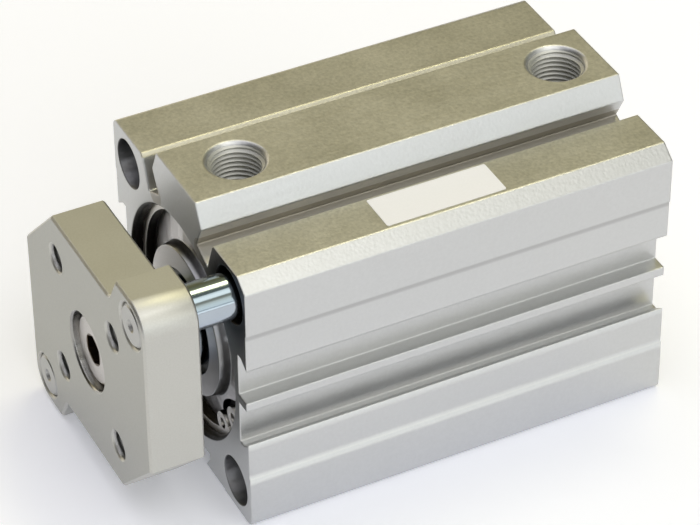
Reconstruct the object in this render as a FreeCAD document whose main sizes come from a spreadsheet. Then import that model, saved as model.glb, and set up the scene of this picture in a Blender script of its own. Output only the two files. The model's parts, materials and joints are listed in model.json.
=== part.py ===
import FreeCAD, Part
import math
import os
import re
import Sketcher

# Guided compact pneumatic cylinder, retracted. Millimetres.
# +X is the way the rod extends, +Z is up (the port pad), and the origin is on the piston axis
# at the front face of the barrel.

# Driving sizes, in millimetres and degrees
sizes = {
    # barrel section
    "bore": 40,
    "barrel_wall": 6,
    "corner_round": 1.5,
    "bevel_side": 2.85,
    "bevel_rise": 2.1,
    "pad_rise": 4.3,
    "pad_top_half": 7.7,
    "pad_foot_half": 9.7,
    "slot_floor_inner": 7.5,
    "slot_depth_inner": 4.2,
    "slot_floor_outer": 11.6,
    "slot_depth_outer": 6.1,
    "slot_lip": 13.75,
    "slot_lip_drop": 0.6,
    "slot_lead": 0.55,
    "panel_half": 15.3,
    "panel_recess": 0.25,
    "channel_depth": 3.5,
    "channel_mouth_half": 7.9,
    "channel_inner_half": 9.3,
    "channel_lip_depth": 2.3,
    "channel_rib_half": 0.88,
    "channel_rib_drop": 0.6,
    # stack along the axis
    "stroke": 40,
    "mouth_step": 0.5,
    "mouth_chamfer": 0.6,
    "clip_depth": 2.0,
    "clip_thickness": 1.75,
    "clip_float": 0.05,
    "clip_groove_depth": 1.0,
    "front_flange": 5.2,
    "front_spigot": 4.75,
    "rear_flange": 3.3,
    "rear_spigot": 2.65,
    "spigot_step": 2.5,
    "bumper_proud": 1.0,
    "stop_gap": 0.1,
    # clearances
    "run_gap": 0.05,
    "fit_gap": 0.03,
    # barrel holes and ports
    "guide_margin": 6,
    "bolt_hole": 5.5,
    "bolt_counterbore": 9,
    "bolt_counterbore_depth": 7,
    "port_front": 11,
    "port_rear": 8,
    "port_thread": 9.73,
    "port_lead": 0.585,
    "port_depth": 8.2,
    "passage": 3.5,
    "passage_shift": 2.2,
    # circlips
    "clip_band": 2.3,
    "clip_lug": 4.4,
    "clip_lug_spread": 6.0,
    "clip_lug_inset": 3.2,
    "clip_eye": 1.9,
    "clip_gap": 1.5,
    "clip_turn": 45,
    # front cover, its boss, seal and bearing
    "boss_depth": 0.6,
    "boss_wall": 2.4,
    "boss_height": 2.15,
    "boss_draft": 0.4,
    "cover_lip": 1.55,
    "lug_room_offset": 0.5,
    "lug_room_gap": 0.24,
    "lug_room_depth": 0.6,
    "seal_width": 3,
    "seal_seat_depth": 6.4,
    "seal_mouth": 1.5,
    "seal_cheek": 1,
    "seal_lip": 0.8,
    "seal_relief": 0.5,
    "rod_bush_wall": 1,
    "rod_bush_inset": 0.3,
    "cover_web": 0.8,
    "cover_web_gap": 0.3,
    "o_ring_section": 1.4,
    "o_ring_groove": 1.9,
    "o_ring_land": 0.7,
    # bumpers
    "bumper_margin": 1.45,
    "bumper_width": 3.5,
    "bumper_seat": 1.3,
    # piston rod
    "rod_diameter": 16,
    "rod_chamfer": 0.8,
    "rod_flats": 14,
    "rod_flat_length": 5,
    "rod_flat_inset": 1.2,
    "rod_tap_spare": 1.8,
    "rod_spigot": 12,
    "rod_spigot_short": 0.3,
    "rod_ring_groove": 1.7,
    "rod_ring_depth": 1.1,
    "rod_ring_land": 2.2,
    "drill_point": 1.2,
    # piston, magnet and their rings
    "piston_gap": 0.3,
    "piston_main": 7.4,
    "piston_land": 0.8,
    "piston_seal_groove": 3.2,
    "piston_seal_depth": 3.5,
    "piston_seal_notch": 0.9,
    "wear_groove": 1.7,
    "wear_depth": 1.4,
    "side_gap": 0.1,
    "magnet_width": 3.4,
    "magnet_section": 6.2,
    "magnet_inset": 0.5,
    "washer_land": 0.5,
    "piston_screw_size": 5,
    "piston_screw_head": 10,
    "piston_screw_reach": 9,
    "piston_screw_hex": 3,
    "piston_screw_hex_depth": 1.6,
    # end plate
    "plate_gap": 7.5,
    "plate_thickness": 10,
    "plate_notch": 6.1,
    "ear_round": 5.2,
    "ear_reach": 5.6,
    "ear_slope": 3.0,
    "ear_root_round": 1.6,
    "corner_cut": 12.4,
    "edge_break": 0.4,
    "tap_circle": 33,
    "tap_hole": 5,
    # plate screw
    "screw_size": 8,
    "screw_slack": 0.5,
    "screw_head": 13,
    "screw_head_height": 5,
    "screw_head_round": 0.6,
    "head_room": 0.5,
    "screw_recess": 1.2,
    "screw_length": 16,
    "screw_hex": 5,
    "screw_hex_depth": 2.8,
    # guide rods and bushes
    "guide_diameter": 8,
    "guide_bush_wall": 1,
    "guide_bush_length": 16,
    "guide_bush_inset": 2,
    "guide_relief": 0.25,
    "guide_front_inset": 0.1,
    "guide_rear_inset": 4,
    "guide_chamfer": 0.6,
    "guide_centre": 2.4,
    "guide_centre_depth": 2.0,
}

# Sizes that follow from the driving ones. Depths are counted back from the front face.
derived = {
    "side": "bore / 2 + barrel_wall",
    "guide_half": "side - guide_margin",
    "pad_top": "side + pad_rise",
    "slot_floor_inner_height": "side - slot_depth_inner",
    "slot_floor_outer_height": "side - slot_depth_outer",
    "slot_lip_height": "side - slot_lip_drop",
    "port_countersink": "port_thread + 2 * port_lead",
    "bore_radius": "bore / 2",
    "mouth_radius": "bore_radius + mouth_step",
    "groove_radius": "mouth_radius + clip_groove_depth",
    "cover_radius": "mouth_radius - run_gap",
    "cover_rim": "cover_radius - cover_lip",
    "spigot_radius": "bore_radius - spigot_step",
    "clip_inner": "groove_radius - clip_band",
    "clip_lug_pitch": "groove_radius - clip_lug_inset",
    "lug_room_pitch": "groove_radius + lug_room_offset",
    "lug_reach": "sqrt((clip_lug_spread / 2) ^ 2 + (lug_room_pitch - clip_lug_pitch) ^ 2)",
    "lug_room": "lug_reach + clip_lug / 2 + lug_room_gap",
    "o_ring_bottom": "mouth_radius - o_ring_section - 2 * fit_gap",
    "front_face": "clip_depth + clip_thickness + clip_float",
    "front_shoulder": "front_face + front_flange",
    "front_back": "front_shoulder + front_spigot",
    "screw_cone": "(piston_screw_head - piston_screw_size) / 2",
    "washer_thickness": "screw_cone + washer_land",
    "piston_pack": "piston_main + magnet_width + washer_thickness",
    "piston_front": "front_back + bumper_proud + stop_gap + stroke",
    "piston_back": "piston_front + piston_pack",
    "rear_front": "piston_back + stop_gap + bumper_proud",
    "rear_shoulder": "rear_front + rear_spigot",
    "rear_face": "rear_shoulder + rear_flange",
    "body_length": "rear_face + front_face",
    "rod_radius": "rod_diameter / 2",
    "seal_seat": "rod_radius + seal_width",
    "boss_radius": "seal_seat + boss_wall",
    "rod_bush_radius": "rod_radius + run_gap + rod_bush_wall",
    "rod_bush_front": "boss_depth + seal_seat_depth + cover_web",
    "bumper_inner": "rod_bush_radius + bumper_margin",
    "bumper_outer": "bumper_inner + bumper_width",
    "rod_spigot_radius": "rod_spigot / 2",
    "rod_spigot_end": "piston_front + piston_main + magnet_width - rod_spigot_short",
    "piston_radius": "bore_radius - piston_gap",
    "ring_radius": "bore_radius - run_gap",
    "seal_start": "piston_front + piston_land",
    "seal_end": "seal_start + piston_seal_groove",
    "wear_end": "piston_front + piston_main - piston_land",
    "wear_start": "wear_end - wear_groove",
    "magnet_start": "piston_front + piston_main",
    "washer_start": "magnet_start + magnet_width",
    "magnet_inner": "piston_radius - magnet_inset - magnet_section",
    "magnet_seat": "magnet_inner - fit_gap",
    "plate_front": "plate_gap + plate_thickness",
    "plate_half": "guide_half + ear_round",
    "plate_flat_half": "side - plate_notch",
    "ear_tip": "guide_half - ear_reach",
    "ear_root": "ear_tip - ear_slope",
    "tap_half": "tap_circle / (2 * sqrt(2))",
    "screw_hole": "screw_size + screw_slack",
    "screw_counterbore": "screw_head + 2 * head_room",
    "head_top": "plate_front - screw_recess",
    "head_seat": "head_top - screw_head_height",
    "screw_end": "head_seat - screw_length",
    "guide_radius": "guide_diameter / 2",
    "guide_bush_radius": "guide_radius + run_gap + guide_bush_wall",
    "guide_start": "plate_front - guide_front_inset",
    "guide_end": "body_length - guide_rear_inset",
}

doc = FreeCAD.newDocument("GuidedCylinder")


def make_sheet(name, rows):
    sheet = doc.addObject("Spreadsheet::Sheet", name)
    for row, (alias, content) in enumerate(rows.items(), start=1):
        sheet.set(f"A{row}", alias)
        sheet.set(f"B{row}", content)
        sheet.setAlias(f"B{row}", alias)
    return sheet


def bound(text):
    # a formula written in size names, as an expression on the two sheets
    def qualify(match):
        word = match.group()
        if word in sizes:
            return "Sizes." + word
        if word in derived:
            return "Derived." + word
        return word
    return re.sub(r"[a-z]\w*", qualify, text)


size_sheet = make_sheet("Sizes", {name: str(value) for name, value in sizes.items()})
doc.recompute()
derived_sheet = make_sheet("Derived", {name: "=" + bound(text) for name, text in derived.items()})
doc.recompute()


def value_of(name):
    sheet = size_sheet if name in sizes else derived_sheet
    return float(sheet.get(name))


parts = []


def new_body(label):
    body = doc.addObject("PartDesign::Body", label)
    body.Label = label
    parts.append(body)
    return body


def origin_feature(body, role):
    return next(item for item in body.Origin.OriginFeatures if item.Role == role)


def new_sketch(body, name, role, offset=None):
    sketch = body.newObject("Sketcher::SketchObject", name)
    sketch.AttachmentSupport = [(origin_feature(body, role), "")]
    sketch.MapMode = "FlatFace"
    if offset:
        sketch.setExpression("AttachmentOffset.Base.z", bound(offset))
    return sketch


def dimension(sketch, kind, geometry, start_value, text, point=1):
    if kind == "Radius":
        constraint = Sketcher.Constraint(kind, geometry, start_value)
    else:
        constraint = Sketcher.Constraint(kind, -1, 1, geometry, point, start_value)
    index = sketch.addConstraint(constraint)
    sketch.setExpression(f"Constraints[{index}]", bound(text))


def outline(body, name, role, corners, offset=None):
    # closed outline: the corners start evenly round a circle and are then placed by their formulas
    sketch = new_sketch(body, name, role, offset)
    count = len(corners)
    turns = [2 * math.pi * step / count for step in range(count)]
    ring = [FreeCAD.Vector(math.cos(turn), math.sin(turn), 0) * 10 for turn in turns]
    for step in range(count):
        sketch.addGeometry(Part.LineSegment(ring[step], ring[(step + 1) % count]), False)
    for step in range(count):
        sketch.addConstraint(Sketcher.Constraint("Coincident", step, 2, (step + 1) % count, 1))
    for step, (across, up) in enumerate(corners):
        dimension(sketch, "DistanceX", step, ring[step].x, across)
        dimension(sketch, "DistanceY", step, ring[step].y, up)
    return sketch


def circles(body, name, role, rows, offset=None):
    # each row is the centre across, the centre up and the radius
    sketch = new_sketch(body, name, role, offset)
    for index, (across, up, radius) in enumerate(rows):
        sketch.addGeometry(Part.Circle(FreeCAD.Vector(index, index, 0), FreeCAD.Vector(0, 0, 1), 1), False)
        dimension(sketch, "DistanceX", index, index, across, point=3)
        dimension(sketch, "DistanceY", index, index, up, point=3)
        dimension(sketch, "Radius", index, 1, radius)
    return sketch


def extrude(kind, body, name, sketch, length=None, backwards=False, midplane=False):
    feature = body.newObject("PartDesign::" + kind, name)
    feature.Profile = sketch
    feature.Reversed = backwards
    feature.Midplane = midplane
    if length is None:
        feature.Type = "ThroughAll"
    else:
        feature.setExpression("Length", bound(length))
    doc.recompute()
    return feature


def pad(body, name, sketch, length, backwards=False):
    return extrude("Pad", body, name, sketch, length, backwards)


def pocket(body, name, sketch, length=None, backwards=False, midplane=False):
    before = body.Shape.Volume
    feature = extrude("Pocket", body, name, sketch, length, backwards, midplane)
    if body.Shape.Volume > before - 1e-6:
        raise RuntimeError(f"{body.Label}: {name} cuts nothing")
    return feature


def turn(kind, body, name, sketch, axis="H_Axis"):
    feature = body.newObject("PartDesign::" + kind, name)
    feature.Profile = sketch
    feature.ReferenceAxis = (sketch, [axis])
    feature.Angle = 360
    doc.recompute()
    return feature


def mirrored(body, name, original, role):
    feature = body.newObject("PartDesign::Mirrored", name)
    feature.Originals = [original]
    feature.MirrorPlane = (origin_feature(body, role), [""])
    body.Tip = feature
    doc.recompute()
    return feature


def dress(kind, body, name, edges, prop, text):
    # fillet or chamfer on edges of the body's last feature
    base = body.Tip
    feature = body.newObject("PartDesign::" + kind, name)
    feature.Base = (base, edges)
    feature.setExpression(prop, bound(text))
    doc.recompute()
    return feature


def edges_where(body, test):
    return [f"Edge{number}" for number, edge in enumerate(body.Shape.Edges, start=1) if test(edge)]


def long_edges_at(body, spots):
    # straight edges along X that run through the given (Y, Z) spots
    def test(edge):
        first, last = edge.Vertexes[0].Point, edge.Vertexes[-1].Point
        along = abs(first.y - last.y) < 1e-6 and abs(first.z - last.z) < 1e-6
        return along and any(math.hypot(first.y - y, first.z - z) < 1e-4 for y, z in spots)
    return edges_where(body, test)


def round_edges_at(body, x, radius):
    # whole circles of one radius in the plane at x
    def test(edge):
        if not isinstance(edge.Curve, Part.Circle) or abs(edge.Curve.Radius - radius) > 1e-6:
            return False
        return abs(edge.BoundBox.XMin - x) < 1e-6 and edge.BoundBox.XLength < 1e-6
    return edges_where(body, test)


def turned(label, corners):
    # a piece turned about the X axis: corners are (along X, radius)
    body = new_body(label)
    turn("Revolution", body, label + "_turn", outline(body, label + "_section", "XZ_Plane", corners))
    return body


def at_corner(body, sign):
    # carries a piece from the piston axis to the upper (+) or lower (-) guide corner
    for axis in "yz":
        body.setExpression("Placement.Base." + axis, bound(f"{sign}guide_half"))
    doc.recompute()


def hexagon(body, name, across, offset):
    # across-flats hexagon with a corner on each side of the vertical
    reach = f"({across}) / sqrt(3)"
    half = f"({across}) / 2"
    corners = [
        (half, f"{reach} / 2"), ("0", reach), (f"-({half})", f"{reach} / 2"),
        (f"-({half})", f"-({reach}) / 2"), ("0", f"-({reach})"), (half, f"-({reach}) / 2"),
    ]
    return outline(body, name, "YZ_Plane", corners, offset)


# Barrel: extruded section, then bore, holes and ports
def make_cylinder_body():
    body = new_body("cylinder_body")
    section = [
        ("-side", "-side"), ("side", "-side"), ("side", "side - bevel_rise"),
        ("side - bevel_side", "side"), ("-side", "side"),
    ]
    block = outline(body, "block_section", "YZ_Plane", section)
    pad(body, "barrel_block", block, "body_length", backwards=True)
    side = value_of("side")
    spots = [(-side, -side), (side, -side), (-side, side)]
    dress("Fillet", body, "block_corners", long_edges_at(body, spots), "Radius", "corner_round")

    pad_section = [
        ("-pad_foot_half", "side"), ("pad_foot_half", "side"),
        ("pad_top_half", "pad_top"), ("-pad_top_half", "pad_top"),
    ]
    raised = outline(body, "pad_section", "YZ_Plane", pad_section)
    pad(body, "port_pad", raised, "body_length", backwards=True)

    slot = [
        ("pad_foot_half", "side"), ("slot_floor_inner", "slot_floor_inner_height"),
        ("slot_floor_outer", "slot_floor_outer_height"), ("slot_lip", "slot_lip_height"),
        ("slot_lip + slot_lead", "side"),
    ]
    top_slot = pocket(body, "top_slot", outline(body, "slot_section", "YZ_Plane", slot))
    mirrored(body, "top_slot_pair", top_slot, "XZ_Plane")

    half_channel = [
        ("side", "panel_half"), ("side - panel_recess", "panel_half"),
        ("side - panel_recess", "channel_mouth_half"),
        ("side - channel_lip_depth", "channel_inner_half"), ("side - channel_depth", "channel_inner_half"),
        ("side - channel_depth", "channel_rib_half"), ("side - channel_rib_drop", "channel_rib_half"),
    ]
    channel = half_channel + [(across, f"-({up})") for across, up in reversed(half_channel)]
    side_channel = pocket(body, "side_channel", outline(body, "channel_section", "YZ_Plane", channel))
    channels = body.newObject("PartDesign::PolarPattern", "channels")
    channels.Originals = [side_channel]
    channels.Axis = (origin_feature(body, "X_Axis"), [""])
    channels.Angle = 180
    channels.Occurrences = 3
    channels.Reversed = True
    body.Tip = channels
    doc.recompute()

    half_bore = [
        ("0", "mouth_radius + mouth_chamfer"), ("mouth_chamfer", "mouth_radius"),
        ("clip_depth - clip_float", "mouth_radius"), ("clip_depth - clip_float", "groove_radius"),
        ("front_face", "groove_radius"), ("front_face", "mouth_radius"),
    ]
    front_half = [(f"-({depth})", radius) for depth, radius in half_bore]
    rear_half = [(f"{depth} - body_length", radius) for depth, radius in reversed(half_bore)]
    steps = [
        ("-front_shoulder", "mouth_radius"), ("-front_shoulder", "bore_radius"),
        ("-rear_shoulder", "bore_radius"), ("-rear_shoulder", "mouth_radius"),
    ]
    bore = [("0", "0")] + front_half + steps + rear_half + [("-body_length", "0")]
    turn("Groove", body, "stepped_bore", outline(body, "bore_section", "XZ_Plane", bore))

    bolt_spots = [("-guide_half", "guide_half"), ("guide_half", "-guide_half")]
    holes = circles(
        body, "bolt_hole_centres", "YZ_Plane", [spot + ("bolt_hole / 2",) for spot in bolt_spots])
    pocket(body, "bolt_holes", holes)
    for name, offset, backwards in (("front", "0", False), ("rear", "-body_length", True)):
        rings = circles(
            body, name + "_counterbore_centres", "YZ_Plane",
            [spot + ("bolt_counterbore / 2",) for spot in bolt_spots], offset)
        pocket(body, name + "_counterbores", rings, "bolt_counterbore_depth", backwards)

    guide_spots = [("guide_half", "guide_half"), ("-guide_half", "-guide_half")]
    reliefs = circles(
        body, "guide_hole_centres", "YZ_Plane",
        [spot + ("guide_radius + guide_relief",) for spot in guide_spots])
    pocket(body, "guide_holes", reliefs)
    seats = circles(
        body, "guide_seat_centres", "YZ_Plane",
        [spot + ("guide_bush_radius + fit_gap",) for spot in guide_spots])
    pocket(body, "guide_seats", seats, "guide_bush_inset + guide_bush_length")

    make_port(body, "front_port", "-port_front", "-passage_shift")
    make_port(body, "rear_port", "port_rear - body_length", "passage_shift")
    return body


def make_port(body, name, along, shift):
    # countersunk thread hole in the pad, with a small passage from its floor into the bore
    profile = [
        (along, "pad_top"), (f"{along} + port_countersink / 2", "pad_top"),
        (f"{along} + port_thread / 2", "pad_top - port_lead"),
        (f"{along} + port_thread / 2", "pad_top - port_depth"), (along, "pad_top - port_depth"),
    ]
    sketch = outline(body, name + "_section", "XZ_Plane", profile)
    upright = Part.LineSegment(FreeCAD.Vector(0, 0, 0), FreeCAD.Vector(0, 10, 0))
    axis_line = sketch.addGeometry(upright, True)
    sketch.addConstraint(Sketcher.Constraint("Vertical", axis_line))
    sketch.addConstraint(Sketcher.Constraint("PointOnObject", axis_line, 1, -1))
    dimension(sketch, "DistanceX", axis_line, 0, along)
    dimension(sketch, "DistanceY", axis_line, 10, "pad_top", point=2)
    turn("Groove", body, name + "_bore", sketch, "Axis0")
    passage = circles(
        body, name + "_passage_centre", "XY_Plane", [(f"{along} + {shift}", "0", "passage / 2")], "pad_top")
    pocket(body, name + "_passage", passage, "pad_top - bore_radius / 2")


def make_circlip(label, start):
    # ring with two eyed lugs, cut between them, turned so that the lugs face a lower corner
    body = new_body(label)
    band = circles(body, label + "_band", "YZ_Plane", [
        ("0", "0", "groove_radius - run_gap"), ("0", "0", "clip_inner")])
    pad(body, label + "_ring", band, "clip_thickness", backwards=True)
    lug_spots = [("-clip_lug_spread / 2", "-clip_lug_pitch"), ("clip_lug_spread / 2", "-clip_lug_pitch")]
    lugs = circles(
        body, label + "_lug_centres", "YZ_Plane", [spot + ("clip_lug / 2",) for spot in lug_spots])
    pad(body, label + "_lugs", lugs, "clip_thickness", backwards=True)
    gap = [
        ("-clip_gap / 2", "-groove_radius"), ("clip_gap / 2", "-groove_radius"),
        ("clip_gap / 2", "clip_lug - clip_lug_pitch"), ("-clip_gap / 2", "clip_lug - clip_lug_pitch"),
    ]
    pocket(body, label + "_gap", outline(body, label + "_gap_outline", "YZ_Plane", gap))
    eyes = circles(
        body, label + "_eye_centres", "YZ_Plane", [spot + ("clip_eye / 2",) for spot in lug_spots])
    pocket(body, label + "_eyes", eyes)
    body.Placement = FreeCAD.Placement(FreeCAD.Vector(), FreeCAD.Rotation(FreeCAD.Vector(1, 0, 0), 1))
    body.setExpression("Placement.Rotation.Angle", bound("clip_turn"))
    body.setExpression("Placement.Base.x", bound(start))
    doc.recompute()


def make_o_ring(label, along, ring_radius, section_radius):
    ring = doc.addObject("Part::Torus", label)
    ring.Label = label
    ring.setExpression("Radius1", bound(ring_radius))
    ring.setExpression("Radius2", bound(section_radius))
    ring.Placement = FreeCAD.Placement(FreeCAD.Vector(), FreeCAD.Rotation(FreeCAD.Vector(0, 1, 0), 90))
    ring.setExpression("Placement.Base.x", bound(along))
    parts.append(ring)


def make_front_end():
    groove_from = "front_face + front_flange - o_ring_land - o_ring_groove"
    cover = turned("front_cover", [
        ("-boss_depth", "rod_radius + seal_mouth"), ("-boss_depth", "boss_radius"),
        ("-(boss_depth + boss_height)", "boss_radius + boss_draft"),
        ("-front_face", "cover_rim"), ("-front_face", "cover_radius"),
        (f"-({groove_from})", "cover_radius"), (f"-({groove_from})", "o_ring_bottom"),
        (f"-({groove_from} + o_ring_groove)", "o_ring_bottom"),
        (f"-({groove_from} + o_ring_groove)", "cover_radius"),
        ("-front_shoulder", "cover_radius"), ("-front_shoulder", "spigot_radius"),
        ("-front_back", "spigot_radius"), ("-front_back", "bumper_outer + fit_gap"),
        ("bumper_seat - front_back", "bumper_outer + fit_gap"),
        ("bumper_seat - front_back", "bumper_inner - fit_gap"),
        ("-front_back", "bumper_inner - fit_gap"), ("-front_back", "rod_bush_radius + fit_gap"),
        ("-rod_bush_front", "rod_bush_radius + fit_gap"), ("-rod_bush_front", "rod_radius + cover_web_gap"),
        ("-(boss_depth + seal_seat_depth)", "rod_radius + cover_web_gap"),
        ("-(boss_depth + seal_seat_depth)", "seal_seat"),
        ("-(boss_depth + seal_cheek)", "seal_seat"),
        ("-(boss_depth + seal_cheek)", "rod_radius + seal_mouth"),
    ])
    room = ("lug_room_pitch * sin(clip_turn)", "-lug_room_pitch * cos(clip_turn)", "lug_room")
    recess = circles(cover, "lug_recess_centre", "YZ_Plane", [room])
    pocket(cover, "lug_recess", recess, "front_face + lug_room_depth")
    make_o_ring(
        "front_cover_o_ring", f"-({groove_from} + o_ring_groove / 2)",
        "mouth_radius - fit_gap - o_ring_section / 2", "o_ring_section / 2")
    turned("rod_bush", [
        ("rod_bush_inset - front_back", "rod_radius + run_gap"),
        ("rod_bush_inset - front_back", "rod_bush_radius"),
        ("-rod_bush_front", "rod_bush_radius"), ("-rod_bush_front", "rod_radius + run_gap"),
    ])
    seal_front = "boss_depth + seal_cheek"
    seal_back = "boss_depth + seal_seat_depth"
    turned("rod_seal", [
        (f"-({seal_front})", "rod_radius + run_gap"), (f"-({seal_front})", "seal_seat - fit_gap"),
        (f"-({seal_back})", "seal_seat - fit_gap"), (f"-({seal_back})", "seal_seat - seal_lip"),
        (f"3 * seal_lip - ({seal_back})", "rod_radius + run_gap + 2 * seal_relief + seal_lip / 2"),
        (f"seal_relief - ({seal_back})", "rod_radius + run_gap + seal_lip"),
        (f"seal_relief - ({seal_back})", "rod_radius + run_gap"),
        (f"seal_relief + seal_lip - ({seal_back})", "rod_radius + run_gap"),
        (f"seal_relief + 3 * seal_lip - ({seal_back})", "rod_radius + run_gap + seal_relief"),
        (f"-({seal_front} + seal_lip)", "rod_radius + run_gap + seal_relief"),
    ])
    make_circlip("front_circlip", "-clip_depth")
    make_bumper("front_bumper", "bumper_seat - front_back", "-(front_back + bumper_proud)")


def make_bumper(label, seat, face):
    body = turned(label, [
        (seat, "bumper_inner"), (seat, "bumper_outer"),
        (face, "bumper_outer"), (face, "bumper_inner"),
    ])
    rims = []
    for radius in ("bumper_inner", "bumper_outer"):
        for x in (body.Shape.BoundBox.XMin, body.Shape.BoundBox.XMax):
            rims += round_edges_at(body, x, value_of(radius))
    dress("Fillet", body, label + "_rims", rims, "Radius", "bumper_proud / 4")


def make_rear_end():
    groove_from = "rear_face - o_ring_land - o_ring_groove"
    turned("rear_cover", [
        ("-rear_face", "0"), ("-rear_face", "cover_radius"),
        (f"-({groove_from} + o_ring_groove)", "cover_radius"),
        (f"-({groove_from} + o_ring_groove)", "o_ring_bottom"),
        (f"-({groove_from})", "o_ring_bottom"), (f"-({groove_from})", "cover_radius"),
        ("-rear_shoulder", "cover_radius"), ("-rear_shoulder", "spigot_radius"),
        ("-rear_front", "spigot_radius"), ("-rear_front", "bumper_outer + fit_gap"),
        ("-(rear_front + bumper_seat)", "bumper_outer + fit_gap"),
        ("-(rear_front + bumper_seat)", "bumper_inner - fit_gap"),
        ("-rear_front", "bumper_inner - fit_gap"), ("-rear_front", "0"),
    ])
    make_o_ring(
        "rear_cover_o_ring", f"-({groove_from} + o_ring_groove / 2)",
        "mouth_radius - fit_gap - o_ring_section / 2", "o_ring_section / 2")
    make_circlip("rear_circlip", "clip_depth + clip_thickness - body_length")
    make_bumper("rear_bumper", "-(rear_front + bumper_seat)", "bumper_proud - rear_front")


def make_guide_bushes():
    for label, sign in (("guide_bush_upper", "+"), ("guide_bush_lower", "-")):
        bush = turned(label, [
            ("-guide_bush_inset", "guide_radius + run_gap"), ("-guide_bush_inset", "guide_bush_radius"),
            ("-(guide_bush_inset + guide_bush_length)", "guide_bush_radius"),
            ("-(guide_bush_inset + guide_bush_length)", "guide_radius + run_gap"),
        ])
        at_corner(bush, sign)


def make_piston_rod():
    ring_from = "piston_front + rod_ring_land"
    tap_end = "screw_end - rod_tap_spare"
    hole_end = "piston_screw_reach + drill_point - rod_spigot_end"
    body = turned("piston_rod", [
        ("plate_gap", "screw_size / 2 + run_gap"), ("plate_gap", "rod_radius - rod_chamfer"),
        ("plate_gap - rod_chamfer", "rod_radius"), ("-piston_front", "rod_radius"),
        ("-piston_front", "rod_spigot_radius"), (f"-({ring_from})", "rod_spigot_radius"),
        (f"-({ring_from})", "rod_spigot_radius - rod_ring_depth"),
        (f"-({ring_from} + rod_ring_groove)", "rod_spigot_radius - rod_ring_depth"),
        (f"-({ring_from} + rod_ring_groove)", "rod_spigot_radius"), ("-rod_spigot_end", "rod_spigot_radius"),
        ("-rod_spigot_end", "piston_screw_size / 2 + run_gap"),
        (hole_end, "piston_screw_size / 2 + run_gap"), (f"{hole_end} + drill_point", "0"),
        (f"{tap_end} - 2 * drill_point", "0"), (tap_end, "screw_size / 2 + run_gap"),
    ])
    flat = [
        ("plate_gap - rod_flat_inset", "rod_flats / 2"), ("plate_gap - rod_flat_inset", "rod_diameter"),
        ("plate_gap - rod_flat_inset - rod_flat_length", "rod_diameter"),
        ("plate_gap - rod_flat_inset - rod_flat_length", "rod_flats / 2"),
    ]
    upper_flat = pocket(body, "spanner_flat", outline(body, "flat_outline", "XZ_Plane", flat), midplane=True)
    mirrored(body, "spanner_flats", upper_flat, "XY_Plane")
    make_o_ring(
        "rod_o_ring", f"-({ring_from} + rod_ring_groove / 2)", "rod_spigot_radius - rod_ring_depth / 2",
        "rod_ring_depth / 2 - fit_gap")


def make_piston():
    turned("piston", [
        ("-piston_front", "rod_spigot_radius + fit_gap"), ("-piston_front", "piston_radius"),
        ("-seal_start", "piston_radius"), ("-seal_start", "piston_radius - piston_seal_depth"),
        ("-seal_end", "piston_radius - piston_seal_depth"), ("-seal_end", "piston_radius"),
        ("-wear_start", "piston_radius"), ("-wear_start", "piston_radius - wear_depth"),
        ("-wear_end", "piston_radius - wear_depth"), ("-wear_end", "piston_radius"),
        ("-magnet_start", "piston_radius"), ("-magnet_start", "magnet_seat"),
        ("-washer_start", "magnet_seat"), ("-washer_start", "rod_spigot_radius + fit_gap"),
    ])
    half_seal = [
        ("side_gap", "piston_radius - piston_seal_depth + fit_gap"),
        ("side_gap", "ring_radius - piston_seal_notch"),
        ("2 * side_gap + seal_lip / 4", "ring_radius"), ("2 * side_gap + seal_lip", "ring_radius"),
    ]
    seal = [(f"-(seal_start + {step})", radius) for step, radius in half_seal]
    seal += [("-(seal_start + seal_end) / 2", "ring_radius - piston_seal_notch")]
    seal += [(f"{step} - seal_end", radius) for step, radius in reversed(half_seal)]
    turned("piston_seal", seal)
    turned("wear_ring", [
        ("-(wear_start + side_gap)", "piston_radius - wear_depth + fit_gap"),
        ("-(wear_start + side_gap)", "ring_radius"), ("side_gap - wear_end", "ring_radius"),
        ("side_gap - wear_end", "piston_radius - wear_depth + fit_gap"),
    ])
    turned("magnet_ring", [
        ("-(magnet_start + fit_gap)", "magnet_inner"),
        ("-(magnet_start + fit_gap)", "piston_radius - magnet_inset"),
        ("fit_gap - washer_start", "piston_radius - magnet_inset"),
        ("fit_gap - washer_start", "magnet_inner"),
    ])
    turned("magnet_washer", [
        ("-washer_start", "piston_screw_size / 2 + run_gap"), ("-washer_start", "piston_radius"),
        ("-piston_back", "piston_radius"), ("-piston_back", "piston_screw_head / 2 + run_gap"),
        ("screw_cone - piston_back", "piston_screw_size / 2 + run_gap"),
    ])
    screw = turned("piston_screw", [
        ("-piston_back", "0"), ("-piston_back", "piston_screw_head / 2"),
        ("screw_cone - piston_back", "piston_screw_size / 2"),
        ("piston_screw_reach - rod_spigot_end", "piston_screw_size / 2"),
        ("piston_screw_reach - rod_spigot_end", "0"),
    ])
    socket = hexagon(screw, "piston_screw_hexagon", "piston_screw_hex", "-piston_back")
    pocket(screw, "piston_screw_socket", socket, "piston_screw_hex_depth", backwards=True)


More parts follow.
